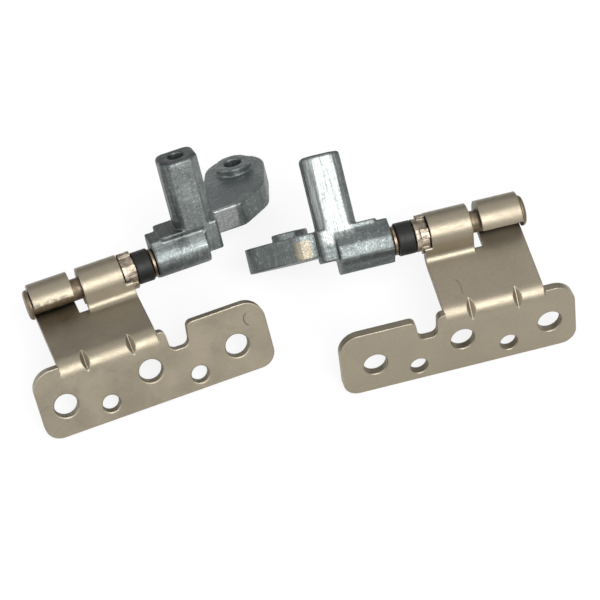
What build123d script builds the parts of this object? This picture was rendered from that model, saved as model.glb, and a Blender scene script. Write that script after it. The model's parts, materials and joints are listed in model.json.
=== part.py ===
from build123d import *
from math import cos, radians, sin, tan
import os

os.makedirs("parts", exist_ok=True)

# Pair of laptop lid hinges, in millimetres. Each hinge is drawn around its
# own shaft axis: X runs along the shaft from the outer end to the inner end,
# Z runs up the screw post of the cast base bracket. The right hinge is the
# mirror image of the left one, apart from the reach of its screw ear.

# Lid bracket: one piece of bent steel sheet
sheet = 1.1                 # sheet thickness
bend_angle = 72.5           # turn between the web and the screw plate
bend_radius = 1.0           # inside radius of the bend
web_outer = -9.25           # web edges along the shaft
web_inner = 3.55
web_height = 11.4          # shaft axis to the fold line
slot_outer = -4.0           # slot that parts the two knuckles
slot_inner = -2.75
slot_floor = 2.9            # slot end, below the shaft axis
knuckle_inner = 2.55        # inner end of the inner knuckle
outer_curl_overrun = 68.0   # how far the outer curl runs below the shaft axis
inner_curl_overrun = 10.0
joggle_lean = 75.0          # slope of the joggle that feeds the inner curl

# Screw plate, x along the shaft and v down from the fold line
plate_outer = -13.0
plate_inner = 17.2
plate_edge = 9.2
shoulder_radius = 2.6
foot_radius = 2.0
notch_outer = 4.5
notch_inner = 7.4
notch_depth = 3.0
large_hole_r = 1.5
small_hole_r = 1.1
large_holes = [(-9.65, 5.2), (1.6, 4.55), (12.85, 5.2)]
small_holes = [(-4.25, 6.95), (7.4, 7.2)]
rim_round = 0.25

# Stiffening darts pressed across the fold
dart_x = [-5.8, 0.15]
dart_reach = 1.75
dart_half_width = 0.9
dart_depth = 0.9
dart_flat = 0.1

# Shaft parts
pin_r = 1.4
knuckle_clearance = 0.03
bore_clearance = 0.02
pin_head_r = 1.95
pin_head = 0.55
pin_outer = web_outer - 0.15
ring_r = 2.4
ring_gap = 0.15
ring_start = 2.65
ring_end = 4.4
ring_sides = 9
ring_notch = 0.75
sleeve_r = 2.1
sleeve_end = 6.6
washer_r = 1.85
washer_end = 7.15

# Cast base bracket, built on the shaft axis
barrel_start = 7.15
barrel_end = 14.1
barrel_bore_end = 13.0
barrel_floor = 2.6          # barrel faces, measured from the shaft axis
barrel_top = 3.0
barrel_front = 2.25
barrel_back = 2.8
block_start = 8.5
block_end = 16.2
block_top = 3.3
block_bottom = -0.7
block_front = -1.05
block_back = 3.5
post_start = 10.9
post_end = 15.9
post_front = -1.1
post_back = 3.1
post_top = 12.6
post_chamfer = 1.1
post_hole_r = 1.05
post_hole_depth = 7.0
ear_bottom = 0.2
ear_thickness = 3.2
boss_r = 2.35
boss_height = 1.0
ear_hole_r = 1.2

# Ear outlines: circles the ear wraps, as (x, y, radius); the first is the boss
ear_circles = {
    "left": [(22.2, 11.6, 4.0), (21.2, 6.8, 3.6), (19.3, 3.4, 2.2), (15.8, 2.3, 1.1)],
    "right": [(18.2, 10.1, 3.8), (20.7, 8.6, 3.7), (18.0, 2.3, 1.1), (15.8, 2.3, 1.1)],
}

# Lid bracket turned about its shaft: 0 lies flat over the base, open
opening = {"left": 86.0, "right": 131.0}

# How each hinge lies on the table: turns about X, Y and Z, then the place.
# Both rest on the lower edge of the screw plate and on the rim of the ear.
attitude = {"left": (-25.85, -9.87, 19.48), "right": (-54.2, -12.2, 8.67)}
place = {"left": (-24.82, -1.73), "right": (18.73, 1.88)}

curl_inner_r = pin_r + knuckle_clearance
curl_mid_r = curl_inner_r + sheet / 2
lean = radians(bend_angle)
web_down = (-cos(lean), sin(lean))
web_front = (sin(lean), cos(lean))
plate_z = web_height * web_down[1] - curl_inner_r * web_front[1]
fold_y = web_height * web_down[0] - curl_inner_r * web_front[0]
bend_setback = (bend_radius + sheet) * tan(lean / 2)


def web_point(down, forward):
    """Point of the bracket section, measured from the shaft axis."""
    y = down * web_down[0] + forward * web_front[0]
    z = down * web_down[1] + forward * web_front[1]
    return (y, z)


def lid_bracket():
    back_angle = 270 - bend_angle
    front_angle = 90 - bend_angle
    fold_mid = (fold_y - sheet / 2 * tan(lean / 2), plate_z - sheet / 2)
    plate_stub = (fold_y - notch_depth, plate_z - sheet / 2)
    mid_bend = bend_radius + sheet / 2
    joggle_foot = curl_mid_r / tan(radians(joggle_lean / 2))
    touch_down = curl_mid_r * sin(radians(joggle_lean))
    touch_front = curl_mid_r * cos(radians(joggle_lean))

    with BuildPart() as bracket:
        # outer strip: behind the shaft, over it and down its front
        with BuildSketch(Plane.YZ.offset(web_outer)):
            with BuildLine():
                FilletPolyline(
                    plate_stub, fold_mid, web_point(0, -curl_mid_r), radius=mid_bend
                )
                CenterArc((0, 0), curl_mid_r, back_angle, 180 + outer_curl_overrun)
            trace(line_width=sheet)
        extrude(amount=slot_outer - web_outer)

        # inner strip: joggles forward, up the front and down the back
        with BuildSketch(Plane.YZ.offset(slot_inner)):
            with BuildLine():
                FilletPolyline(
                    plate_stub,
                    fold_mid,
                    web_point(joggle_foot, -curl_mid_r),
                    web_point(touch_down, touch_front),
                    radius=mid_bend,
                )
                CenterArc(
                    (0, 0),
                    curl_mid_r,
                    front_angle + joggle_lean,
                    -(joggle_lean + 180 + inner_curl_overrun),
                )
            trace(line_width=sheet)
        extrude(amount=web_inner - slot_inner)

        # plain web below the slot
        with BuildSketch(Plane.YZ.offset(slot_outer)):
            with BuildLine():
                FilletPolyline(
                    plate_stub,
                    fold_mid,
                    web_point(slot_floor, -curl_mid_r),
                    radius=mid_bend,
                )
            trace(line_width=sheet)
        extrude(amount=slot_inner - slot_outer)

        # the web stands a little wider than the knuckle and clears the ring
        with BuildSketch(Plane.YZ.offset(knuckle_inner)):
            Circle(ring_r + ring_gap)
        extrude(amount=2, mode=Mode.SUBTRACT)

        # screw plate, drawn from the fold line down
        with BuildSketch(Plane.XY.offset(plate_z)):
            with BuildLine():
                Polyline(
                    (web_outer, fold_y),
                    (plate_outer, fold_y),
                    (plate_outer, fold_y - plate_edge),
                    (plate_inner, fold_y - plate_edge),
                    (plate_inner, fold_y),
                    (notch_inner, fold_y),
                    (notch_inner - 0.3, fold_y - notch_depth),
                    (notch_outer + 0.2, fold_y - notch_depth),
                    (notch_outer, fold_y),
                    (web_inner, fold_y),
                    (web_inner, fold_y - bend_setback),
                    (web_outer, fold_y - bend_setback),
                    close=True,
                )
            make_face()
        extrude(amount=-sheet)

        corners = bracket.edges().filter_by(Axis.Z)
        high = corners.filter_by_position(Axis.Y, fold_y - 0.1, fold_y + 0.1)
        low = corners.filter_by_position(
            Axis.Y, fold_y - plate_edge - 0.1, fold_y - plate_edge + 0.1
        )
        fillet(high.sort_by(Axis.X)[0], shoulder_radius)
        fillet(high.sort_by(Axis.X)[-1], shoulder_radius)
        fillet(low, foot_radius)
        notch = bracket.edges().filter_by(Axis.Z).filter_by_position(
            Axis.Y, fold_y - notch_depth - 0.1, fold_y - notch_depth + 0.1
        )
        fillet(notch, 0.9)
        mouth = bracket.edges().filter_by(Axis.Z).filter_by_position(
            Axis.X, notch_inner - 0.05, notch_inner + 0.05
        )
        fillet(mouth, 0.8)
        ledge = bracket.edges().filter_by(Axis.Z).filter_by_position(
            Axis.X, notch_outer - 0.05, notch_outer + 0.05
        )
        fillet(ledge, 0.75)

        with Locations(*[(x, fold_y - v, plate_z) for x, v in large_holes]):
            Hole(large_hole_r, 2 * sheet)
        with Locations(*[(x, fold_y - v, plate_z) for x, v in small_holes]):
            Hole(small_hole_r, 2 * sheet)
        rims = bracket.edges().filter_by(GeomType.CIRCLE)
        rims = rims.filter_by_position(Axis.Z, plate_z - 0.01, plate_z + 0.01)
        rims = rims.filter_by(lambda e: abs(e.radius - large_hole_r) < 0.01
                              or abs(e.radius - small_hole_r) < 0.01)
        fillet(rims, rim_round)

        # darts: a rib on the hidden side, a groove on the outer side
        for x in dart_x:
            with BuildSketch(Plane.YZ.offset(x)):
                with BuildLine():
                    inner_fold = (fold_y - sheet * tan(lean / 2), plate_z - sheet)
                    Polyline(
                        inner_fold,
                        (inner_fold[0] - dart_reach, inner_fold[1]),
                        (
                            inner_fold[0] - dart_reach * web_down[0],
                            inner_fold[1] - dart_reach * web_down[1],
                        ),
                        close=True,
                    )
                make_face()
            extrude(amount=dart_half_width, both=True)
            slope = radians(bend_angle / 2)
            out_y = sin(slope)
            out_z = cos(slope)
            mid_y = fold_y - dart_reach / 2 * (1 + web_down[0])
            mid_z = plate_z - dart_reach / 2 * web_down[1]
            groove = Plane(
                origin=(x, mid_y, mid_z), x_dir=(1, 0, 0), z_dir=(0, -out_z, out_y)
            )
            with BuildSketch(groove):
                with BuildLine():
                    Polyline(
                        (-dart_flat / 2, 0),
                        (dart_flat / 2, 0),
                        (dart_half_width, dart_depth),
                        (-dart_half_width, dart_depth),
                        close=True,
                    )
                make_face()
            extrude(amount=dart_reach, both=True, mode=Mode.SUBTRACT)
    return bracket.part


def hinge_pin():
    with BuildPart() as pin:
        with BuildSketch(Plane.YZ.offset(pin_outer)):
            Circle(pin_r)
        extrude(amount=barrel_bore_end - pin_outer)
        with BuildSketch(Plane.YZ.offset(pin_outer)):
            Circle(pin_head_r)
        extrude(amount=-pin_head)
        fillet(pin.edges().sort_by(Axis.X)[0], pin_head * 0.8)
    return pin.part


def notched_ring():
    with BuildPart() as ring:
        with BuildSketch(Plane.YZ.offset(ring_start)):
            RegularPolygon(ring_r, ring_sides)
            Circle(pin_r + bore_clearance, mode=Mode.SUBTRACT)
        extrude(amount=ring_end - ring_start)
        with BuildSketch(Plane.YZ.offset(ring_end)):
            with PolarLocations(ring_r, 4, start_angle=25):
                Rectangle(1.3, ring_notch)
        extrude(amount=-0.9, mode=Mode.SUBTRACT)
    return ring.part


def collar(start, end, radius, softening):
    with BuildPart() as body:
        with BuildSketch(Plane.YZ.offset(start)):
            Circle(radius)
            Circle(pin_r + bore_clearance, mode=Mode.SUBTRACT)
        extrude(amount=end - start)
        rims = body.edges().filter_by(GeomType.CIRCLE).sort_by(SortBy.RADIUS)[-2:]
        chamfer(rims, softening)
    return body.part


def base_bracket(side):
    circles = ear_circles[side]
    boss_x, boss_y, boss_wrap = circles[0]
    ear_top = ear_bottom + ear_thickness
    with BuildPart() as casting:
        # barrel that takes the shaft, faceted in front
        with BuildSketch(Plane.YZ.offset(barrel_start)):
            with BuildLine():
                Polyline(
                    (-barrel_front, 0.4 * barrel_front),
                    (-barrel_front, -0.45 * barrel_front),
                    (0.25 * barrel_front, -barrel_floor),
                    (barrel_back, -barrel_floor),
                    (barrel_back, barrel_top),
                    (-0.35 * barrel_front, barrel_top),
                    close=True,
                )
            make_face()
        extrude(amount=barrel_end - barrel_start)
        fillet(casting.edges().filter_by(Axis.X), 0.55)

        # block behind the barrel
        with BuildSketch(Plane.XY.offset(block_bottom)):
            with Locations(
                ((block_start + block_end) / 2, (block_front + block_back) / 2)
            ):
                RectangleRounded(
                    block_end - block_start, block_back - block_front, 0.5
                )
        extrude(amount=block_top - block_bottom)

        # screw post
        with BuildSketch(Plane.XY.offset(0)) as post:
            with Locations(
                ((post_start + post_end) / 2, (post_front + post_back) / 2)
            ):
                Rectangle(post_end - post_start, post_back - post_front)
            chamfer(post.vertices().group_by(Axis.Y)[0], post_chamfer)
            fillet(post.vertices().group_by(Axis.Y)[-1], post_chamfer)
        extrude(amount=post_top)
        fillet(casting.faces().sort_by(Axis.Z)[-1].edges(), 0.45)

        # arm and ear
        with BuildSketch(Plane.XY.offset(ear_bottom)):
            for x, y, radius in circles:
                with Locations((x, y)):
                    Circle(radius)
            make_hull()
        extrude(amount=ear_thickness)
        with BuildSketch(Plane.XY.offset(ear_top)):
            with Locations((boss_x, boss_y)):
                Circle(boss_r)
        extrude(amount=boss_height)

        with BuildSketch(Plane.YZ.offset(barrel_start)):
            Circle(pin_r + bore_clearance)
        extrude(amount=barrel_bore_end - barrel_start, mode=Mode.SUBTRACT)

        # screw holes
        post_x = (post_start + post_end) / 2
        post_y = (post_front + post_back) / 2
        with BuildSketch(Plane.XY.offset(post_top)):
            with Locations((post_x, post_y)):
                Circle(post_hole_r)
        extrude(amount=-post_hole_depth, mode=Mode.SUBTRACT)
        with BuildSketch(Plane.XY.offset(ear_top + boss_height)):
            with Locations((boss_x, boss_y)):
                Circle(ear_hole_r)
        extrude(amount=-(ear_thickness + boss_height), mode=Mode.SUBTRACT)
    return casting.part


def hinge(side):
    turned = Location((0, 0, 0), (opening[side], 0, 0))
    pieces = {
        "lid_bracket": lid_bracket().moved(turned),
        "hinge_pin": hinge_pin(),
        "notched_ring": notched_ring(),
        "black_sleeve": collar(ring_end, sleeve_end, sleeve_r, 0.15),
        "copper_washer": collar(sleeve_end, washer_end, washer_r, 0.12),
        "base_bracket": base_bracket(side),
    }
    if side == "right":
        pieces = {n: mirror(p, about=Plane.YZ) for n, p in pieces.items()}
    tilt = Location((0, 0, 0), attitude[side])
    tilted = {n: p.moved(tilt) for n, p in pieces.items()}
    floor = min(p.bounding_box().min.Z for p in tilted.values())
    set_down = Location((place[side][0], place[side][1], -floor))
    return {n: p.moved(set_down) for n, p in tilted.items()}


for side in ("left", "right"):
    for name, solid in hinge(side).items():
        solid.label = side + "_" + name
        export_step(solid, "parts/" + solid.label + ".step")
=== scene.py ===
"""Finishes and a studio for a pair of laptop hinges: plated steel on pins in zinc castings."""

import json
import math

import bpy
from bpy.props import FloatProperty, FloatVectorProperty, PointerProperty
from mathutils import Matrix, Vector


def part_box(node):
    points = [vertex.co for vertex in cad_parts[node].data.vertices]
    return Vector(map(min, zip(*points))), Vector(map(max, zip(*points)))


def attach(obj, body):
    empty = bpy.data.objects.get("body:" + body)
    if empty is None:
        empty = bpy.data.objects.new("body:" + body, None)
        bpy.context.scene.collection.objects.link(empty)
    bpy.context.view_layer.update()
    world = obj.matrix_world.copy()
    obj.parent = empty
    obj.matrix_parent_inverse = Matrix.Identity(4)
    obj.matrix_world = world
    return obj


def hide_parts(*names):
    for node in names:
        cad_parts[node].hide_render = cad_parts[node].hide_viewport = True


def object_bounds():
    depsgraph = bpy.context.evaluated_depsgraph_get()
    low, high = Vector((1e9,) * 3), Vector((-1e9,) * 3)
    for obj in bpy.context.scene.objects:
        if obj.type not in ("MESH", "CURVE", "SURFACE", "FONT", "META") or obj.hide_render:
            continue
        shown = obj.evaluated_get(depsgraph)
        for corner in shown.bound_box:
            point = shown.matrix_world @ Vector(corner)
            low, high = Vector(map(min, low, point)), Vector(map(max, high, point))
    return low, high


bl_info = {
    "name": "Laptop Hinge Pair",
    "version": (1, 0, 0),
    "blender": (4, 5, 0),
    "location": "3D View > Sidebar > Hinges",
    "description": "Finishes for a pair of laptop hinges, with a plain studio",
    "category": "Object",
}

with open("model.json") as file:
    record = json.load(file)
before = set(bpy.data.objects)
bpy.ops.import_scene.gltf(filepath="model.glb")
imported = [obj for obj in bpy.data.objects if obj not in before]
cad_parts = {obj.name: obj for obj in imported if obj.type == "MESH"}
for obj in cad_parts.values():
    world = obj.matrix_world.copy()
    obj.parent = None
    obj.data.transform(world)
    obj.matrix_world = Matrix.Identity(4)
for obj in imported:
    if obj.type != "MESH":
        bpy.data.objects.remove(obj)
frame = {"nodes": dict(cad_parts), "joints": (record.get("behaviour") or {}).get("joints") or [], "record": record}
cad_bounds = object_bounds()

MM = 0.001
SIDES = ("left", "right")
BLACK = (0.0, 0.0, 0.0, 1.0)
WHITE = (1.0, 1.0, 1.0, 1.0)

# Castings. The barrel is what holds the pin, and its front is where Y in casting_frame
# is less than BARREL_FRONT.
CAST_DETAIL = 0.12 * MM
CAST_FACES_KEPT = 0.6
CAST_WELD = 0.001 * MM
CAST_SOFTNESS = 7
BARREL_SOFTNESS = 12
BARREL_END = 14.2 * MM
BARREL_TOP = 3.1 * MM
BARREL_FRONT = -0.6 * MM
BARREL_BLEND = 0.6 * MM
BARREL_INSIDE = 2.0 * MM
BARREL_RADIUS = 2.5 * MM
BARREL_MIDDLE = (0.25 * MM, 0.2 * MM)
BARREL_ROUNDNESS = {"left": 0.85, "right": 0.25}

# Squeezed rings. The lobes start at LOBES_START along the pin, from the ring's middle, and
# run to its far rim.
PIN_WIDTH = 2.8 * MM
RING_BODY = 4.3 * MM
RING_WIDTH = 1.7 * MM
RING_PLAY = 0.05 * MM
RING_SIDES = 18
RING_ROWS = 3
RING_EDGE = 0.1 * MM
RING_LOBES = 10
RING_LOBE_HEIGHT = 0.37 * MM
LOBES_START = {"left": -RING_WIDTH / 2, "right": -RING_WIDTH / 6}
RING_DENT = 0.22 * MM
RING_DENT_SIZE = 0.9 * MM
RING_DENT_LEVEL = 0.7

# How fine each pattern is, as its repeats in a metre. A pattern is drawn out along an axis
# whose stretch is less than one.
SHEET_LINES = 5200.0
SHEET_LINES_STRETCH = 0.25
SHEET_CLOUDS = 210.0
SHEET_PORES = 4200.0
CAST_CRYSTALS = 6500.0
CAST_DRAG = 3800.0
CAST_DRAG_STRETCH = (1.0, 1.0, 0.06)
CAST_SCUFFS = 2200.0
CAST_SCUFFS_STRETCH = (0.1, 1.0, 1.0)
CAST_PATCHES = 420.0
CAST_SMUDGES = 230.0
LATHE_LINES = 5200.0
LATHE_LINES_STRETCH = (1.0, 0.08, 0.08)
LATHE_DIRT = 900.0
WORN_BREAKS = 900.0
GREASY_SHADE_PATCHES = 700.0
CRYSTAL_CLOUDS = 1500.0
VEIN_FOLDS = 1700.0
SCUFF_BREAKS = 1100.0
SCRATCH_BENDS = 1100.0

# Finish of each metal: edges, widths, reaches and depths in millimetres, the rest as shares.
SHEET_EDGE = 0.22
SHEET_BUMP = 0.3
SHEET_BUMP_DEPTH = 0.012
SHEET_WORN_WIDTH = 0.16
SHEET_WORN = 0.7
SHEET_GREASY_SHADE_REACH = 0.7
SHEET_GREASY_SHADE = 0.75
CAST_EDGE = 0.22
CAST_BUMP = 0.5
CAST_BUMP_DEPTH = 0.04
CAST_WORN_WIDTH = 0.2
CAST_WORN = 0.6
CAST_GREASY_SHADE_REACH = 0.6
CAST_GREASY_SHADE = 0.7
CAST_METALLIC = 0.95
LATHE_EDGE = 0.1
LATHE_BUMP_DEPTH = 0.03
LATHE_WORN_WIDTH = 0.12
LATHE_WORN = 0.6
LATHE_GREASY_SHADE_REACH = 0.5
LATHE_GREASY_SHADE = 0.9
SLEEVE_SPECULAR = 0.3
# Colour of greasy dirt and painted shade in seams and corners.
GREASY_SHADE_COLOUR = (0.03, 0.025, 0.02, 1.0)

# Marks and regions, in millimetres. A region is its lowest and its highest corner, with X
# taken without its sign: in bracket_frame for the lid brackets, in casting_frame for the
# castings. A place of painted shade also has how dark it is painted, and an arm patch its colour.
NICK_CENTRE = (15.4, -7.0)
NICK_RADIUS = 0.95
NICK_WIDTH = 0.07
NICK_ENDS = (-0.62, -0.35)
NICK_SHADE = 0.85
NICK_REGION = ((13.0, -9.0, 10.0), (17.0, -5.0, 11.0))
SCUFF_SHADE = 0.7
SCUFF_REGION = ((4.6, -0.45, 1.9), (12.9, 0.75, 2.9))
SCRATCH_TOP = 8.1
SCRATCH_WIDTH = 0.055
SCRATCH_LEAN = 0.17
SCRATCH_WANDER = 0.9
SCRATCH_SHADE = 0.6
SCRATCH_REGION = ((-1.0, -4.15, 5.4), (0.9, -2.5, SCRATCH_TOP))
POST_FRONT = ((11.6, -1.6, 1.4), (15.9, -0.3, 12.3))
SHADED_SIDE = {
    "left": ((10.0, -2.0, 1.0), (11.85, 2.6, 13.5)),
    "right": ((15.75, -0.7, 3.0), (16.8, 2.6, 13.5)),
}
# Painted shade: the post's top, the block and arm, the barrel and the seam at the barrel's end, darkened towards
# black where less light falls.
PAINTED_SHADE_POST_TOP = ((10.0, -2.0, 12.3), (17.0, 4.0, 14.0), 0.45)
PAINTED_SHADE_PLACES = {
    "left": (
        ((6.0, -4.0, -4.0), (7.35, 4.0, 4.0), 0.6),
        ((7.0, -0.6, 2.6), (15.6, 3.8, 4.4), 0.55),
        PAINTED_SHADE_POST_TOP,
    ),
    "right": (
        ((6.0, -3.0, -9.0), (14.6, -1.0, 3.4), 0.18),
        ((14.6, -9.0, -9.0), (40.0, 1.0, 3.2), 0.4),
        PAINTED_SHADE_POST_TOP,
    ),
}
ARM_PATCH = {
    "left": ((16.1, -2.0, 0.2), (19.3, 1.7, 3.9), (0.4, 0.405, 0.4)),
    "right": ((16.9, -2.0, -0.6), (19.0, 1.7, 2.6), (0.27, 0.225, 0.16)),
}

# How the two castings differ: veins and a painted highlight on the post's front, streaked
# along the drag lines, then the height of the grain and of the drag lines.
VEINED = {"left": 0.42, "right": 0.0}
FRONT_HIGHLIGHT = {"left": 0.05, "right": 0.8}
GRAINED = {"left": 0.4, "right": 0.12}
DRAGGED = {"left": 0.8, "right": 1.5}
PATCHES_HEIGHT = 2.0

# Studio. Lamps and the glow lie at an azimuth and an elevation in degrees round the aim,
# and a lamp also has its distance, size and power.
FLOOR_SIZE = 3.0
FLOOR_ROUGHNESS = 0.8
FLOOR_GLOW = 0.84
FLOOR_MIRRORED = 0.15
LAMPS = {
    "key_lamp": (-56.0, 50.0, 0.5, 0.36, 3.1),
    "fill_lamp": (-150.0, 38.0, 0.6, 0.4, 1.2),
}
AIR_FRONT = (0.56, 0.56, 0.56, 1.0)
AIR_BACK = (0.22, 0.22, 0.22, 1.0)
AIR_TOP = (0.56, 0.56, 0.57, 1.0)
BACK_GLOW = (92.0, 64.0)
BACK_GLOW_COLOUR = (1.3, 1.3, 1.3, 1.0)
SENSOR_WIDTH = 36.0
NEAREST_SEEN = 0.01
CAMERA_HEADING = math.radians(0.14)


# Where each hinge lies ---------------------------------------------------


def joint_of(side):
    """The turning joint of one hinge."""
    return next(j for j in frame["joints"] if j["name"] == side + "_lid_turn")


def mount_of(side, name):
    """One of the fastening places of a hinge."""
    return next(m for m in frame["record"]["mounts"] if m["name"] == f"{side}_{name}")


def body_with(node):
    """The moving body that a CAD node belongs to."""
    bodies = frame["record"]["behaviour"]["bodies"]
    return next(body for body, members in bodies.items() if node in members)


def axes(origin, across, out):
    """A frame at origin with X along across and Z along out."""
    x = Vector(across).normalized()
    z = Vector(out)
    z = (z - x * z.dot(x)).normalized()
    y = z.cross(x)
    turn = Matrix((x, y, z)).transposed()
    return Matrix.Translation(Vector(origin)) @ turn.to_4x4()


def casting_frame(side):
    """X along the pin, Z up the screw post, from the middle of the hinge's pin."""
    joint = joint_of(side)
    return axes(joint["pos_m"], joint["axis"], mount_of(side, "post_screw")["axis"])


def bracket_frame(side):
    """X along the pin, Z out of the screw plate's face, from the middle of the pin."""
    joint = joint_of(side)
    return axes(joint["pos_m"], joint["axis"], mount_of(side, "lid_screw_b")["axis"])


# Node helpers --------------------------------------------------------------


def feed(tree, socket, value):
    """Links a socket to an input, or sets the input to a plain value."""
    if isinstance(value, bpy.types.NodeSocket):
        tree.links.new(value, socket)
    else:
        socket.default_value = value


# The colour sockets of a Mix node, which share their names with its other kinds.
MIX_SHARE, MIX_A, MIX_B, MIX_RESULT = 0, 6, 7, 2


class Graph:
    """Adds and joins the nodes of one node tree."""

    def __init__(self, tree):
        self.tree = tree
        self.column = 0

    def add(self, kind, inputs=None, **settings):
        """A node of that kind, with its settings and its inputs, each a value or a socket."""
        node = self.tree.nodes.new(kind)
        node.location = (self.column * 180, 0)
        self.column += 1
        for name, value in settings.items():
            setattr(node, name, value)
        for name, value in (inputs or {}).items():
            feed(self.tree, node.inputs[name], value)
        return node

    def math(self, operation, a, b=0.0):
        """The result of one maths step."""
        return self.add("ShaderNodeMath", {0: a, 1: b}, operation=operation).outputs[0]

    def ramp(self, value, low, high, to_low=0.0, to_high=1.0):
        """Value brought smoothly from low..high to to_low..to_high."""
        limits = {"From Min": low, "From Max": high, "To Min": to_low, "To Max": to_high}
        node = self.add(
            "ShaderNodeMapRange", {"Value": value, **limits}, interpolation_type="SMOOTHSTEP"
        )
        return node.outputs["Result"]

    def blend(self, share, a, b):
        """Colour a turned into colour b by share."""
        inputs = {MIX_SHARE: share, MIX_A: a, MIX_B: b}
        return self.add("ShaderNodeMix", inputs, data_type="RGBA").outputs[MIX_RESULT]

    def noise(self, where, scale, detail=4.0, rough=0.6, distortion=0.0):
        """Noise from 0 to 1."""
        look = {"Scale": scale, "Detail": detail, "Roughness": rough, "Distortion": distortion}
        return self.add("ShaderNodeTexNoise", {"Vector": where, **look}).outputs["Fac"]

    def stretched(self, where, scale):
        """The same place with each axis scaled, so that a small scale draws a pattern out."""
        return self.add("ShaderNodeMapping", {"Vector": where, "Scale": scale}).outputs[0]

    def split(self, where):
        """The X, Y and Z of a place."""
        return self.add("ShaderNodeSeparateXYZ", {0: where}).outputs


def place_in(graph, where):
    """Object coordinates seen from a hinge's own frame."""
    spot = graph.add("ShaderNodeTexCoord")
    back = where.inverted()
    node = graph.add(
        "ShaderNodeMapping",
        {
            "Vector": spot.outputs["Object"],
            "Location": back.to_translation(),
            "Rotation": back.to_euler(),
        },
    )
    return node.outputs[0]


def within(graph, place, lowest, highest, soft):
    """1 inside a region in millimetres, 0 outside, with an edge as wide as twice soft."""
    parts = graph.split(place)
    inside = None
    for axis, low, high in zip("XYZ", lowest, highest):
        value = parts[axis]
        if axis == "X":
            value = graph.math("ABSOLUTE", value)
        start = graph.ramp(value, (low - soft) * MM, (low + soft) * MM)
        end = graph.ramp(value, (high - soft) * MM, (high + soft) * MM, 1.0, 0.0)
        both = graph.math("MULTIPLY", start, end)
        inside = both if inside is None else graph.math("MULTIPLY", inside, both)
    return inside


# Shared effects ------------------------------------------------------------


VALUE = "NodeSocketFloat"
PLACE = "NodeSocketVector"


def effect_group(name, inputs, outputs):
    """A node group with inputs given as name: (socket kind, default), and value outputs."""
    tree = bpy.data.node_groups.new(name, "ShaderNodeTree")
    for label, (kind, default) in inputs.items():
        socket = tree.interface.new_socket(label, in_out="INPUT", socket_type=kind)
        if default is not None:
            socket.default_value = default
    for label in outputs:
        tree.interface.new_socket(label, in_out="OUTPUT", socket_type=VALUE)
    graph = Graph(tree)
    given = graph.add("NodeGroupInput").outputs
    result = graph.add("NodeGroupOutput").inputs
    return tree, graph, given, result


def edge_wear_group():
    """Where edges are rubbed bright: 1 on a worn edge, 0 on a flat face."""
    inputs = {"Width": (VALUE, 0.15 * MM), "Place": (PLACE, None)}
    tree, graph, given, result = effect_group("Edge Wear", inputs, ["Edge"])
    rounded = graph.add("ShaderNodeBevel", {"Radius": given["Width"]}, samples=6)
    flat = graph.add("ShaderNodeNewGeometry")
    alike = graph.add(
        "ShaderNodeVectorMath",
        {0: rounded.outputs[0], 1: flat.outputs["Normal"]},
        operation="DOT_PRODUCT",
    )
    turned = graph.ramp(alike.outputs["Value"], 0.995, 0.86)
    patches = graph.noise(given["Place"], WORN_BREAKS, detail=3.0, rough=0.5)
    broken = graph.ramp(patches, 0.35, 0.6, 0.45, 1.0)
    feed(tree, result["Edge"], graph.math("MULTIPLY", turned, broken))
    return tree


def streak_group():
    """Fine lines along X of the place, as rolling leaves, longer where Stretch is less."""
    inputs = {"Place": (PLACE, None), "Fineness": (VALUE, 3000.0), "Stretch": (VALUE, 0.02)}
    tree, graph, given, result = effect_group("Drawn Streaks", inputs, ["Lines"])
    parts = graph.split(given["Place"])
    short = graph.math("MULTIPLY", parts["X"], given["Stretch"])
    joined = graph.add("ShaderNodeCombineXYZ", {"X": short, "Y": parts["Y"], "Z": parts["Z"]})
    fine = graph.noise(joined.outputs[0], given["Fineness"], rough=0.65)
    feed(tree, result["Lines"], fine)
    return tree


def grain_group():
    """Bright crystals and thin veins of a zinc casting, with a height for the bump."""
    inputs = {"Place": (PLACE, None), "Size": (VALUE, 5500.0)}
    tree, graph, given, result = effect_group("Cast Grain", inputs, ["Shade", "Height", "Veins"])
    place = given["Place"]
    cells = graph.add("ShaderNodeTexVoronoi", {"Vector": place, "Scale": given["Size"]})
    random = graph.add("ShaderNodeSeparateColor", {0: cells.outputs["Color"]}).outputs
    soft = graph.noise(place, CRYSTAL_CLOUDS)
    feed(tree, result["Shade"], graph.math("MULTIPLY", random[0], soft))
    feed(tree, result["Height"], graph.math("ADD", random[1], soft))
    folds = graph.noise(place, VEIN_FOLDS, detail=3.0, distortion=1.6)
    ridge = graph.math("ABSOLUTE", graph.math("SUBTRACT", folds, 0.5))
    feed(tree, result["Veins"], graph.ramp(ridge, 0.0, 0.05, 1.0, 0.0))
    return tree


def greasy_shade_group():
    """Where greasy dirt and painted shade gather: 1 deep in a seam or corner, 0 on an open face."""
    inputs = {"Reach": (VALUE, 0.5 * MM), "Place": (PLACE, None)}
    tree, graph, given, result = effect_group("Seam Grease", inputs, ["Grease"])
    # Painted shade: ambient occlusion darkens deep seams and corners.
    closed = graph.add("ShaderNodeAmbientOcclusion", {"Distance": given["Reach"]}, samples=8)
    deep = graph.ramp(closed.outputs["AO"], 0.75, 0.25)
    patches = graph.noise(given["Place"], GREASY_SHADE_PATCHES, detail=3.0, rough=0.5)
    patchy = graph.ramp(patches, 0.3, 0.65, 0.55, 1.0)
    feed(tree, result["Grease"], graph.math("MULTIPLY", deep, patchy))
    return tree


EFFECTS = {
    "Edge Wear": edge_wear_group,
    "Drawn Streaks": streak_group,
    "Cast Grain": grain_group,
    "Seam Grease": greasy_shade_group,
}
groups = {}  # the shared effects' node groups made so far, by name


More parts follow.
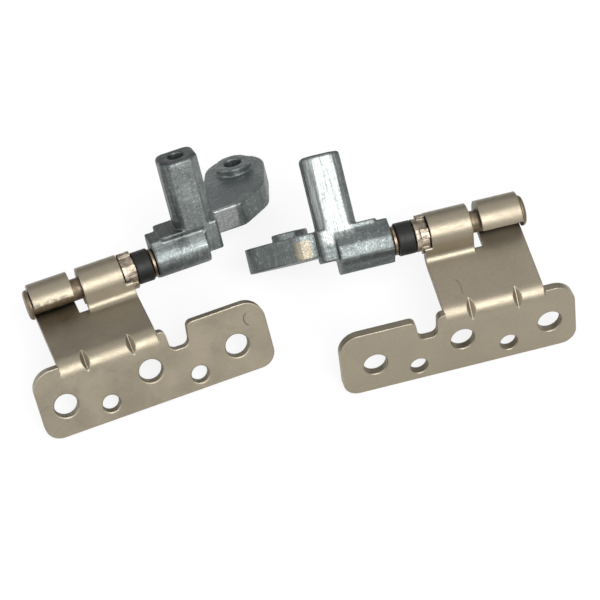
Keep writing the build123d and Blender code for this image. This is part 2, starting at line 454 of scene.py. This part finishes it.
def effect(graph, name, place, **inputs):
    """The outputs of one of the shared effects, whose group is made at its first use."""
    if name not in groups:
        groups[name] = EFFECTS[name]()
    node = graph.add("ShaderNodeGroup", {"Place": place, **inputs}, node_tree=groups[name])
    return node.outputs


# Sizes and colours ---------------------------------------------------------


def shade_property(name, description, default):
    """A colour that a user can change."""
    return FloatVectorProperty(
        name=name,
        description=description,
        default=default,
        subtype="COLOR",
        size=3,
        min=0.0,
        max=1.0,
    )


def gloss_property(description, default):
    """A roughness that a user can change."""
    return FloatProperty(
        name="Roughness",
        description=description,
        default=default,
        min=0.0,
        max=1.0,
        subtype="FACTOR",
    )


class PlatedSteelSettings(bpy.types.PropertyGroup):
    """The lid brackets' nickel plating."""

    plating: shade_property("Plating", "Colour of the nickel plating", (0.275, 0.241, 0.182))
    bare: shade_property("Bare metal", "Colour of the sheared and rubbed edges", (0.56, 0.51, 0.42))
    roughness: gloss_property("How dull the plating is", 0.46)


class PinSettings(bpy.types.PropertyGroup):
    """The turning parts on the pin."""

    steel: shade_property("Steel", "Colour of the pin", (0.21, 0.165, 0.115))
    ring: shade_property("Ring", "Colour of the squeezed ring", (0.44, 0.37, 0.29))
    black: shade_property("Black", "Colour of the blackened sleeve", (0.007, 0.007, 0.006))
    copper: shade_property("Copper", "Colour of the washer", (0.24, 0.175, 0.125))


class CastingSettings(bpy.types.PropertyGroup):
    """The zinc base brackets."""

    zinc: shade_property("Zinc", "Colour of the cast zinc", (0.172, 0.193, 0.189))
    crystal: shade_property("Crystals", "Colour of the bright crystals", (0.4, 0.425, 0.41))
    roughness: gloss_property("How dull the casting is", 0.42)


class StudioSettings(bpy.types.PropertyGroup):
    """The floor and the camera."""

    floor: shade_property("Floor", "Colour of the floor", (0.82, 0.82, 0.82))
    elevation: FloatProperty(
        name="Camera height",
        description="Angle of the camera above the floor",
        default=math.radians(54.58),
        subtype="ANGLE",
    )
    roll: FloatProperty(
        name="Camera roll",
        description="Turn of the picture",
        default=math.radians(2.71),
        subtype="ANGLE",
    )
    distance: FloatProperty(
        name="Camera distance",
        description="From the camera to its aim",
        default=0.27475,
        unit="LENGTH",
    )
    lens: FloatProperty(name="Lens", description="Focal length in millimetres", default=134.1)
    aim: FloatVectorProperty(
        name="Aim",
        description="Point that the camera looks at",
        default=(0.00041, -0.00764, 0.010),
        subtype="TRANSLATION",
    )


# Finishes ------------------------------------------------------------------


def new_material(name):
    """A new material, the graph of its nodes and its shader."""
    material = bpy.data.materials.new(name)
    material.use_nodes = True
    graph = Graph(material.node_tree)
    shader = material.node_tree.nodes["Principled BSDF"]
    return material, graph, shader


def dress(node, material):
    """Gives a CAD node a finish in place of its plain one."""
    for slot in frame["nodes"][node].material_slots:
        slot.material = material


def colour_of(value, share=1.0):
    """An RGBA colour from a property's RGB, made darker or lighter by share."""
    return (*(min(1.0, part * share) for part in value), 1.0)


def worn(graph, place, colour, bare, width, share):
    """The colour with its edges rubbed to a bare one, over a width in millimetres."""
    edge = effect(graph, "Edge Wear", place, Width=width * MM)["Edge"]
    return graph.blend(graph.math("MULTIPLY", edge, share), colour, bare)


def greasy_shaded(graph, place, colour, reach, share):
    """The colour with greasy dirt and painted shade in the seams, out to a reach in millimetres."""
    greasy_shade = effect(graph, "Seam Grease", place, Reach=reach * MM)["Grease"]
    return graph.blend(graph.math("MULTIPLY", greasy_shade, share), colour, GREASY_SHADE_COLOUR)


def surface(graph, shader, colour, metallic, rough):
    """Gives the shader its colour, metal and gloss."""
    tree = graph.tree
    feed(tree, shader.inputs["Base Color"], colour)
    feed(tree, shader.inputs["Metallic"], metallic)
    feed(tree, shader.inputs["Roughness"], rough)


def relief(graph, shader, edge, height, strength, depth, samples=8):
    """Gives the shader rounded edges and a bump, with the edge and depth in millimetres."""
    rounded = graph.add("ShaderNodeBevel", {"Radius": edge * MM}, samples=samples)
    size = {"Height": height, "Strength": strength, "Distance": depth * MM}
    bump = graph.add("ShaderNodeBump", {**size, "Normal": rounded.outputs[0]})
    feed(graph.tree, shader.inputs["Normal"], bump.outputs[0])


def nick_in(graph, place):
    """1 along a short curved nick that something hard left on the plate."""
    middle = Vector((*NICK_CENTRE, 0.0)) * MM
    shifted = graph.add("ShaderNodeVectorMath", {0: place, 1: middle}, operation="SUBTRACT")
    parts = graph.split(shifted.outputs[0])
    squares = [graph.math("POWER", parts[axis], 2.0) for axis in "XY"]
    radius = graph.math("SQRT", graph.math("ADD", *squares))
    away = graph.math("ABSOLUTE", graph.math("SUBTRACT", radius, NICK_RADIUS * MM))
    line = graph.ramp(away, NICK_WIDTH * 0.4 * MM, NICK_WIDTH * 1.6 * MM, 1.0, 0.0)
    arc = graph.ramp(parts["X"], NICK_ENDS[0] * MM, NICK_ENDS[1] * MM, NICK_SHADE, 0.0)
    curve = graph.math("MULTIPLY", line, arc)
    return graph.math("MULTIPLY", curve, within(graph, place, *NICK_REGION, soft=0.1))


def scuffs_in(graph, place):
    """1 where the outer knuckle's lower edge is rubbed and dirty."""
    broken = graph.noise(place, SCUFF_BREAKS, rough=0.65)
    patches = graph.ramp(broken, 0.46, 0.58, 0.0, SCUFF_SHADE)
    return graph.math("MULTIPLY", patches, within(graph, place, *SCUFF_REGION, soft=0.25))


def scratch_in(graph, place):
    """1 along a thin wandering scratch down the web."""
    parts = graph.split(place)
    bends = graph.noise(place, SCRATCH_BENDS, detail=2.0, rough=0.5)
    wander = graph.math("MULTIPLY", bends, SCRATCH_WANDER * MM)
    below = graph.math("SUBTRACT", parts["Z"], SCRATCH_TOP * MM)
    lean = graph.math("MULTIPLY", below, SCRATCH_LEAN)
    across = graph.math("ADD", graph.math("SUBTRACT", parts["X"], lean), wander)
    away = graph.math("ABSOLUTE", across)
    width = SCRATCH_WIDTH * MM
    line = graph.ramp(away, width * 0.5, width * 1.5, SCRATCH_SHADE, 0.0)
    return graph.math("MULTIPLY", line, within(graph, place, *SCRATCH_REGION, soft=0.1))


def marks_in(graph, place, side):
    """1 where the lid bracket of that side is marked by use."""
    if side == "left":
        return graph.math("MAXIMUM", nick_in(graph, place), scuffs_in(graph, place))
    return scratch_in(graph, place)


def plated_steel(side, settings):
    """Nickel-plated sheet: satin, with drawn lines, stains, marks and rubbed edges."""
    material, graph, shader = new_material(side + "_plated_steel")
    place = place_in(graph, bracket_frame(side))
    drawn = effect(graph, "Drawn Streaks", place, Fineness=SHEET_LINES, Stretch=SHEET_LINES_STRETCH)
    lines = drawn["Lines"]
    cloud = graph.noise(place, SHEET_CLOUDS, rough=0.62, distortion=0.3)
    pores = graph.noise(place, SHEET_PORES, detail=3.0, rough=0.65)

    plating = settings.plating
    cloudy = graph.ramp(cloud, 0.32, 0.68)
    colour = graph.blend(cloudy, colour_of(plating, 0.94), colour_of(plating, 1.04))
    speckles = graph.ramp(pores, 0.4, 0.58, 0.13, 0.0)
    colour = graph.blend(speckles, colour, colour_of(plating, 0.5))
    bare = colour_of(settings.bare)
    colour = worn(graph, place, colour, bare, SHEET_WORN_WIDTH, SHEET_WORN)
    colour = graph.blend(marks_in(graph, place, side), colour, colour_of(plating, 0.3))
    colour = greasy_shaded(graph, place, colour, SHEET_GREASY_SHADE_REACH, SHEET_GREASY_SHADE)

    smear = graph.math("MULTIPLY", graph.math("ADD", lines, cloud), 0.5)
    gloss = settings.roughness
    rough = graph.ramp(smear, 0.35, 0.65, gloss * 0.85, gloss * 1.15)
    surface(graph, shader, colour, 1.0, rough)
    height = graph.math("ADD", pores, graph.math("MULTIPLY", lines, 0.25))
    relief(graph, shader, SHEET_EDGE, height, SHEET_BUMP, SHEET_BUMP_DEPTH)
    return material


def cast_zinc(side, settings):
    """Die-cast zinc: grey, with sparkling crystals and drag lines from the die."""
    material, graph, shader = new_material(side + "_cast_zinc")
    place = place_in(graph, casting_frame(side))
    zinc, crystal = colour_of(settings.zinc), colour_of(settings.crystal)
    grain = effect(graph, "Cast Grain", place, Size=CAST_CRYSTALS)
    upright = graph.stretched(place, CAST_DRAG_STRETCH)
    drag = graph.noise(upright, CAST_DRAG, rough=0.65)
    along = graph.stretched(place, CAST_SCUFFS_STRETCH)
    scuffs = graph.noise(along, CAST_SCUFFS, rough=0.65)
    patches = graph.noise(place, CAST_PATCHES, detail=3.0, rough=0.55)

    sparkle = graph.ramp(grain["Shade"], 0.36, 0.58)
    sparkle = graph.math("MULTIPLY", sparkle, graph.ramp(patches, 0.4, 0.62, 0.25, 0.85))
    colour = graph.blend(sparkle, zinc, crystal)
    smudges = graph.noise(place, CAST_SMUDGES, distortion=0.8)
    colour = graph.blend(graph.ramp(smudges, 0.38, 0.6, 0.22, 0.0), colour, BLACK)
    dragged = graph.ramp(drag, 0.35, 0.6, 0.5, 0.0)
    colour = graph.blend(dragged, colour, colour_of(settings.zinc, 0.55))
    colour = graph.blend(graph.ramp(scuffs, 0.56, 0.7, 0.0, 0.45), colour, crystal)
    # Painted shade: each listed place is darkened towards black by its share.
    for lowest, highest, share in PAINTED_SHADE_PLACES[side]:
        dull = graph.math("MULTIPLY", within(graph, place, lowest, highest, soft=0.3), share)
        colour = graph.blend(dull, colour, BLACK)

    front = within(graph, place, *POST_FRONT, soft=0.35)
    veins = graph.math("MULTIPLY", graph.math("MULTIPLY", grain["Veins"], front), VEINED[side])
    colour = graph.blend(veins, colour, crystal)
    # Painted highlight: the post's front lightened towards the crystal colour, in streaks along the drag lines.
    front_highlight = graph.ramp(drag, 0.42, 0.56, FRONT_HIGHLIGHT[side] * 0.3, FRONT_HIGHLIGHT[side])
    colour = graph.blend(graph.math("MULTIPLY", front, front_highlight), colour, crystal)
    shade = graph.ramp(drag, 0.4, 0.6, 0.65, 0.15)
    shade = graph.math("MULTIPLY", within(graph, place, *SHADED_SIDE[side], soft=0.2), shade)
    colour = graph.blend(shade, colour, colour_of(settings.zinc, 0.25))
    lowest, highest, tone = ARM_PATCH[side]
    shine = graph.ramp(grain["Shade"], 0.1, 0.5, 0.45, 0.95)
    shine = graph.math("MULTIPLY", within(graph, place, lowest, highest, soft=0.12), shine)
    colour = graph.blend(shine, colour, colour_of(tone))
    colour = worn(graph, place, colour, crystal, CAST_WORN_WIDTH, CAST_WORN)
    colour = greasy_shaded(graph, place, colour, CAST_GREASY_SHADE_REACH, CAST_GREASY_SHADE)

    gloss = settings.roughness
    uneven = graph.math("ADD", grain["Height"], drag)
    rough = graph.ramp(uneven, 0.8, 1.9, gloss * 0.8, gloss * 1.25)
    surface(graph, shader, colour, CAST_METALLIC, rough)
    height = graph.math("MULTIPLY", grain["Height"], GRAINED[side])
    height = graph.math("ADD", height, graph.math("MULTIPLY", drag, DRAGGED[side]))
    height = graph.math("ADD", height, graph.math("MULTIPLY", patches, PATCHES_HEIGHT))
    relief(graph, shader, CAST_EDGE, height, CAST_BUMP, CAST_BUMP_DEPTH)
    return material


def turned_metal(side, name, tone, roughness, metallic=1.0, lines_bump=0.3, dirt_shade=0.75):
    """Metal turned or drawn on a lathe, with rings round the pin."""
    material, graph, shader = new_material(f"{side}_{name}")
    place = place_in(graph, casting_frame(side))
    rings = graph.stretched(place, LATHE_LINES_STRETCH)
    lines = graph.noise(rings, LATHE_LINES)
    dirt = graph.ramp(graph.noise(place, LATHE_DIRT), 0.3, 0.7)
    colour = graph.blend(dirt, colour_of(tone, dirt_shade), colour_of(tone))
    colour = worn(graph, place, colour, colour_of(tone, 1.5), LATHE_WORN_WIDTH, LATHE_WORN)
    colour = greasy_shaded(graph, place, colour, LATHE_GREASY_SHADE_REACH, LATHE_GREASY_SHADE)
    rough = graph.ramp(lines, 0.3, 0.7, roughness * 0.8, roughness * 1.25)
    surface(graph, shader, colour, metallic, rough)
    relief(graph, shader, LATHE_EDGE, lines, lines_bump, LATHE_BUMP_DEPTH, samples=6)
    return material


def black_sleeve(side, tone):
    """The blackened sleeve: not a bare metal, and with little shine."""
    material = turned_metal(side, "black_sleeve", tone, 0.5, metallic=0.0)
    shader = material.node_tree.nodes["Principled BSDF"]
    shader.inputs["Specular IOR Level"].default_value = SLEEVE_SPECULAR
    return material


# Shapes --------------------------------------------------------------------


def shaped(piece, name, kind, **settings):
    """Adds a modifier with its settings to the active piece and applies it."""
    modifier = piece.modifiers.new(name, kind)
    for setting, value in settings.items():
        setattr(modifier, setting, value)
    bpy.ops.object.modifier_apply(modifier=modifier.name)


def only(piece):
    """Makes one piece the only selected one, and the active one."""
    bpy.ops.object.select_all(action="DESELECT")
    bpy.context.view_layer.objects.active = piece
    piece.select_set(True)


def ring_middle(side):
    """The point of the pin's line that the ring lies round."""
    lowest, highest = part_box(side + "_notched_ring")
    joint = joint_of(side)
    across = Vector(joint["axis"]).normalized()
    start = Vector(joint["pos_m"])
    return start + across * ((lowest + highest) / 2 - start).dot(across)


def squeezed_ring(side):
    """The notched ring as the press left it: lobes round a tube, uneven and softly dented."""
    across = Vector(joint_of(side)["axis"]).normalized()
    bpy.ops.object.select_all(action="DESELECT")
    bpy.ops.mesh.primitive_cylinder_add(
        vertices=RING_SIDES,
        radius=RING_BODY / 2,
        depth=RING_WIDTH,
        end_fill_type="NOTHING",
        location=ring_middle(side),
        rotation=across.to_track_quat("Z", "Y").to_euler(),
    )
    ring = bpy.context.object
    ring.name = side + "_squeezed_ring"
    bpy.ops.object.mode_set(mode="EDIT")
    bpy.ops.mesh.select_mode(type="EDGE")
    bpy.ops.mesh.select_all(action="SELECT")
    bpy.ops.mesh.subdivide(number_cuts=RING_ROWS - 1)
    bpy.ops.mesh.select_mode(type="FACE")
    bpy.ops.mesh.select_all(action="DESELECT")
    bpy.ops.object.mode_set(mode="OBJECT")
    for face in ring.data.polygons:
        turn = math.atan2(face.center.y, face.center.x) + math.pi
        lobe = int(turn / (2 * math.pi) * RING_LOBES)
        face.select = lobe % 2 == 0 and face.center.z > LOBES_START[side]
    bpy.ops.object.mode_set(mode="EDIT")
    bpy.ops.mesh.extrude_region_shrink_fatten(
        TRANSFORM_OT_shrink_fatten={"value": RING_LOBE_HEIGHT}
    )
    bpy.ops.object.mode_set(mode="OBJECT")
    wall = RING_BODY / 2 - PIN_WIDTH / 2 - RING_PLAY
    shaped(ring, "wall", "SOLIDIFY", thickness=wall, offset=-1.0)
    shaped(ring, "soft edges", "BEVEL", width=RING_EDGE, segments=2)
    shaped(ring, "finer", "SUBSURF", levels=2, render_levels=2)
    dents = bpy.data.textures.new(ring.name + "_dents", "CLOUDS")
    dents.noise_scale = RING_DENT_SIZE
    shaped(
        ring,
        "dents",
        "DISPLACE",
        texture=dents,
        texture_coords="GLOBAL",
        strength=RING_DENT,
        mid_level=RING_DENT_LEVEL,
    )
    bpy.ops.object.transform_apply(location=True, rotation=True, scale=True)
    bpy.ops.object.shade_smooth()
    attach(ring, body_with(side + "_notched_ring"))
    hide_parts(side + "_notched_ring")
    return ring


def barrel_front(side, casting):
    """A vertex group of the flat front faces round the pin, weaker towards their edge."""
    seen = casting_frame(side).inverted() @ casting.matrix_world
    barrel = casting.vertex_groups.new(name="barrel")
    for vertex in casting.data.vertices:
        spot = seen @ vertex.co
        radius = math.hypot(spot.y - BARREL_MIDDLE[0], spot.z - BARREL_MIDDLE[1])
        on_barrel = abs(spot.x) < BARREL_END and spot.z < BARREL_TOP
        if on_barrel and spot.y < BARREL_FRONT and radius > BARREL_INSIDE:
            share = min(1.0, (BARREL_FRONT - spot.y) / BARREL_BLEND)
            barrel.add([vertex.index], share, "REPLACE")
    return barrel


def round_off_barrel(side, casting):
    """Brings the flat front faces round the pin close to a cylinder."""
    barrel = barrel_front(side, casting)
    where = casting_frame(side)
    bpy.ops.object.empty_add(location=where @ Vector((0.0, *BARREL_MIDDLE)))
    core = bpy.context.object
    core.rotation_euler = where.to_3x3().col[0].to_track_quat("Z", "Y").to_euler()
    bpy.context.view_layer.update()
    only(casting)
    shaped(
        casting,
        "turned",
        "CAST",
        cast_type="CYLINDER",
        object=core,
        use_transform=True,
        use_x=True,
        use_y=True,
        use_z=False,
        use_radius_as_size=False,
        size=BARREL_RADIUS,
        factor=BARREL_ROUNDNESS[side],
        vertex_group=barrel.name,
    )
    shaped(
        casting,
        "soft barrel",
        "SMOOTH",
        factor=0.5,
        iterations=BARREL_SOFTNESS,
        vertex_group=barrel.name,
    )
    bpy.data.objects.remove(core)


def softened_casting(side):
    """The base bracket with the rounded edges and blended corners of a die casting."""
    node = side + "_base_bracket"
    source = frame["nodes"][node]
    casting = source.copy()
    casting.data = source.data.copy()
    casting.name = side + "_cast_bracket"
    casting.parent = None
    for key in [k for k in casting.keys() if k.startswith("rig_")]:
        del casting[key]
    bpy.context.collection.objects.link(casting)
    only(casting)
    casting.data.materials.clear()
    bpy.ops.mesh.customdata_custom_splitnormals_clear()
    bpy.ops.object.mode_set(mode="EDIT")
    bpy.ops.mesh.select_all(action="SELECT")
    bpy.ops.mesh.remove_doubles(threshold=CAST_WELD)
    bpy.ops.object.mode_set(mode="OBJECT")
    shaped(casting, "skin", "REMESH", mode="VOXEL", voxel_size=CAST_DETAIL)
    shaped(casting, "soft", "SMOOTH", factor=0.5, iterations=CAST_SOFTNESS)
    round_off_barrel(side, casting)
    shaped(casting, "lighter", "DECIMATE", ratio=CAST_FACES_KEPT)
    bpy.ops.object.shade_smooth()
    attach(casting, body_with(node))
    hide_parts(node)
    return casting


# Studio --------------------------------------------------------------------


def polar(azimuth, elevation, distance):
    """The step from the aim to a place round it, angles in degrees."""
    turn, rise = math.radians(azimuth), math.radians(elevation)
    across = math.cos(rise)
    return Vector((math.cos(turn) * across, math.sin(turn) * across, math.sin(rise))) * distance


def glowing_floor(settings):
    """A wide paper floor, lit from within for the camera and in part for reflections."""
    level = cad_bounds[0][2] if cad_bounds else 0.0
    bpy.ops.object.select_all(action="DESELECT")
    bpy.ops.mesh.primitive_plane_add(size=FLOOR_SIZE, location=(0.0, 0.0, level))
    floor = bpy.context.object
    floor.name = "floor"
    material, graph, shader = new_material("floor_paper")
    shader.inputs["Base Color"].default_value = colour_of(settings.floor)
    shader.inputs["Roughness"].default_value = FLOOR_ROUGHNESS
    seen = graph.add("ShaderNodeLightPath").outputs
    mirrored = graph.math("MULTIPLY", seen["Is Glossy Ray"], FLOOR_MIRRORED)
    either = graph.math("MAXIMUM", seen["Is Camera Ray"], mirrored)
    share = graph.math("MULTIPLY", either, FLOOR_GLOW)
    glow = graph.add("ShaderNodeEmission", {"Color": WHITE})
    mixed = graph.add("ShaderNodeMixShader", {0: share, 1: shader.outputs[0], 2: glow.outputs[0]})
    output = graph.tree.nodes["Material Output"]
    feed(graph.tree, output.inputs["Surface"], mixed.outputs[0])
    floor.data.materials.append(material)


def soft_lamp(name, spot, aim, size, power):
    """A square lamp at spot that shines on aim."""
    bpy.ops.object.light_add(type="AREA", location=spot)
    lamp = bpy.context.object
    lamp.name = name
    lamp.data.size = size
    lamp.data.energy = power
    lamp.rotation_euler = (spot - aim).to_track_quat("Z", "Y").to_euler()


def studio_air(scene):
    """Air that is bright in front and above, dark behind, with a glow high at the back."""
    world = bpy.data.worlds.new("studio_air")
    scene.world = world
    world.use_nodes = True
    air = Graph(world.node_tree)
    way = air.add("ShaderNodeTexCoord").outputs["Generated"]
    parts = air.split(way)
    low = air.blend(air.ramp(parts["Y"], -0.3, 0.5), AIR_FRONT, AIR_BACK)
    sky = air.blend(air.ramp(parts["Z"], 0.02, 0.42), low, AIR_TOP)
    toward = air.add(
        "ShaderNodeVectorMath", {0: way, 1: polar(*BACK_GLOW, 1.0)}, operation="DOT_PRODUCT"
    )
    lit = air.blend(air.ramp(toward.outputs["Value"], 0.82, 0.99), sky, BACK_GLOW_COLOUR)
    feed(world.node_tree, world.node_tree.nodes["Background"].inputs["Color"], lit)


def photo_camera(scene, settings):
    """The camera, where it stood for the photo."""
    bpy.ops.object.camera_add()
    camera = bpy.context.object
    camera.name = "photo_camera"
    camera.data.lens = settings.lens
    camera.data.sensor_width = SENSOR_WIDTH
    camera.data.clip_start = NEAREST_SEEN
    tilt = math.pi / 2 - settings.elevation
    camera.rotation_euler = (tilt, settings.roll, CAMERA_HEADING)
    back = camera.rotation_euler.to_matrix() @ Vector((0.0, 0.0, settings.distance))
    camera.location = Vector(settings.aim) + back
    scene.camera = camera


# Operators -----------------------------------------------------------------


class HINGE_OT_lid_brackets(bpy.types.Operator):
    """Finish the plated steel brackets that carry the lid"""

    bl_idname = "hinge.lid_brackets"
    bl_label = "Lid Brackets"

    def execute(self, context):
        settings = context.scene.hinge_plated_steel
        for side in SIDES:
            dress(side + "_lid_bracket", plated_steel(side, settings))
        return {"FINISHED"}


class HINGE_OT_pin_parts(bpy.types.Operator):
    """Finish the pins and what turns on them"""

    bl_idname = "hinge.pin_parts"
    bl_label = "Pins and Washers"

    def execute(self, context):
        settings = context.scene.hinge_pin
        for side in SIDES:
            steel = turned_metal(side, "pin_steel", settings.steel, 0.5, dirt_shade=0.6)
            dress(side + "_hinge_pin", steel)
            ring = squeezed_ring(side)
            nickel = turned_metal(
                side, "ring_nickel", settings.ring, 0.44, lines_bump=0.6, dirt_shade=0.4
            )
            ring.data.materials.append(nickel)
            dress(side + "_black_sleeve", black_sleeve(side, settings.black))
            copper = turned_metal(side, "copper_washer", settings.copper, 0.36)
            dress(side + "_copper_washer", copper)
        return {"FINISHED"}


class HINGE_OT_base_brackets(bpy.types.Operator):
    """Finish the zinc castings that screw to the base"""

    bl_idname = "hinge.base_brackets"
    bl_label = "Base Brackets"

    def execute(self, context):
        settings = context.scene.hinge_casting
        for side in SIDES:
            casting = softened_casting(side)
            casting.data.materials.append(cast_zinc(side, settings))
        return {"FINISHED"}


class HINGE_OT_studio(bpy.types.Operator):
    """Set out the floor, the lamps and the camera"""

    bl_idname = "hinge.studio"
    bl_label = "Studio"

    def execute(self, context):
        scene = context.scene
        settings = scene.hinge_studio
        glowing_floor(settings)
        aim = Vector(settings.aim)
        for name, (azimuth, elevation, distance, size, power) in LAMPS.items():
            soft_lamp(name, aim + polar(azimuth, elevation, distance), aim, size, power)
        studio_air(scene)
        photo_camera(scene, settings)
        scene.view_settings.view_transform = "Standard"
        return {"FINISHED"}


class HINGE_PT_panel(bpy.types.Panel):
    """The hinges' finishes and their studio"""

    bl_idname = "HINGE_PT_panel"
    bl_label = "Laptop Hinges"
    bl_space_type = "VIEW_3D"
    bl_region_type = "UI"
    bl_category = "Hinges"

    def draw(self, context):
        for operator in OPERATORS:
            self.layout.operator(operator.bl_idname)
        for name, cls in SETTINGS.items():
            for prop in cls.__annotations__:
                self.layout.prop(getattr(context.scene, name), prop)


OPERATORS = (HINGE_OT_lid_brackets, HINGE_OT_pin_parts, HINGE_OT_base_brackets, HINGE_OT_studio)
SETTINGS = {
    "hinge_plated_steel": PlatedSteelSettings,
    "hinge_pin": PinSettings,
    "hinge_casting": CastingSettings,
    "hinge_studio": StudioSettings,
}


def register():
    for cls in (*SETTINGS.values(), *OPERATORS, HINGE_PT_panel):
        bpy.utils.register_class(cls)
    for name, cls in SETTINGS.items():
        setattr(bpy.types.Scene, name, PointerProperty(type=cls))


def unregister():
    for name in SETTINGS:
        delattr(bpy.types.Scene, name)
    for cls in reversed((*SETTINGS.values(), *OPERATORS, HINGE_PT_panel)):
        bpy.utils.unregister_class(cls)


def main():
    """Builds the whole scene."""
    register()
    bpy.ops.hinge.lid_brackets()
    bpy.ops.hinge.pin_parts()
    bpy.ops.hinge.base_brackets()
    bpy.ops.hinge.studio()


if __name__ == "__main__":
    main()
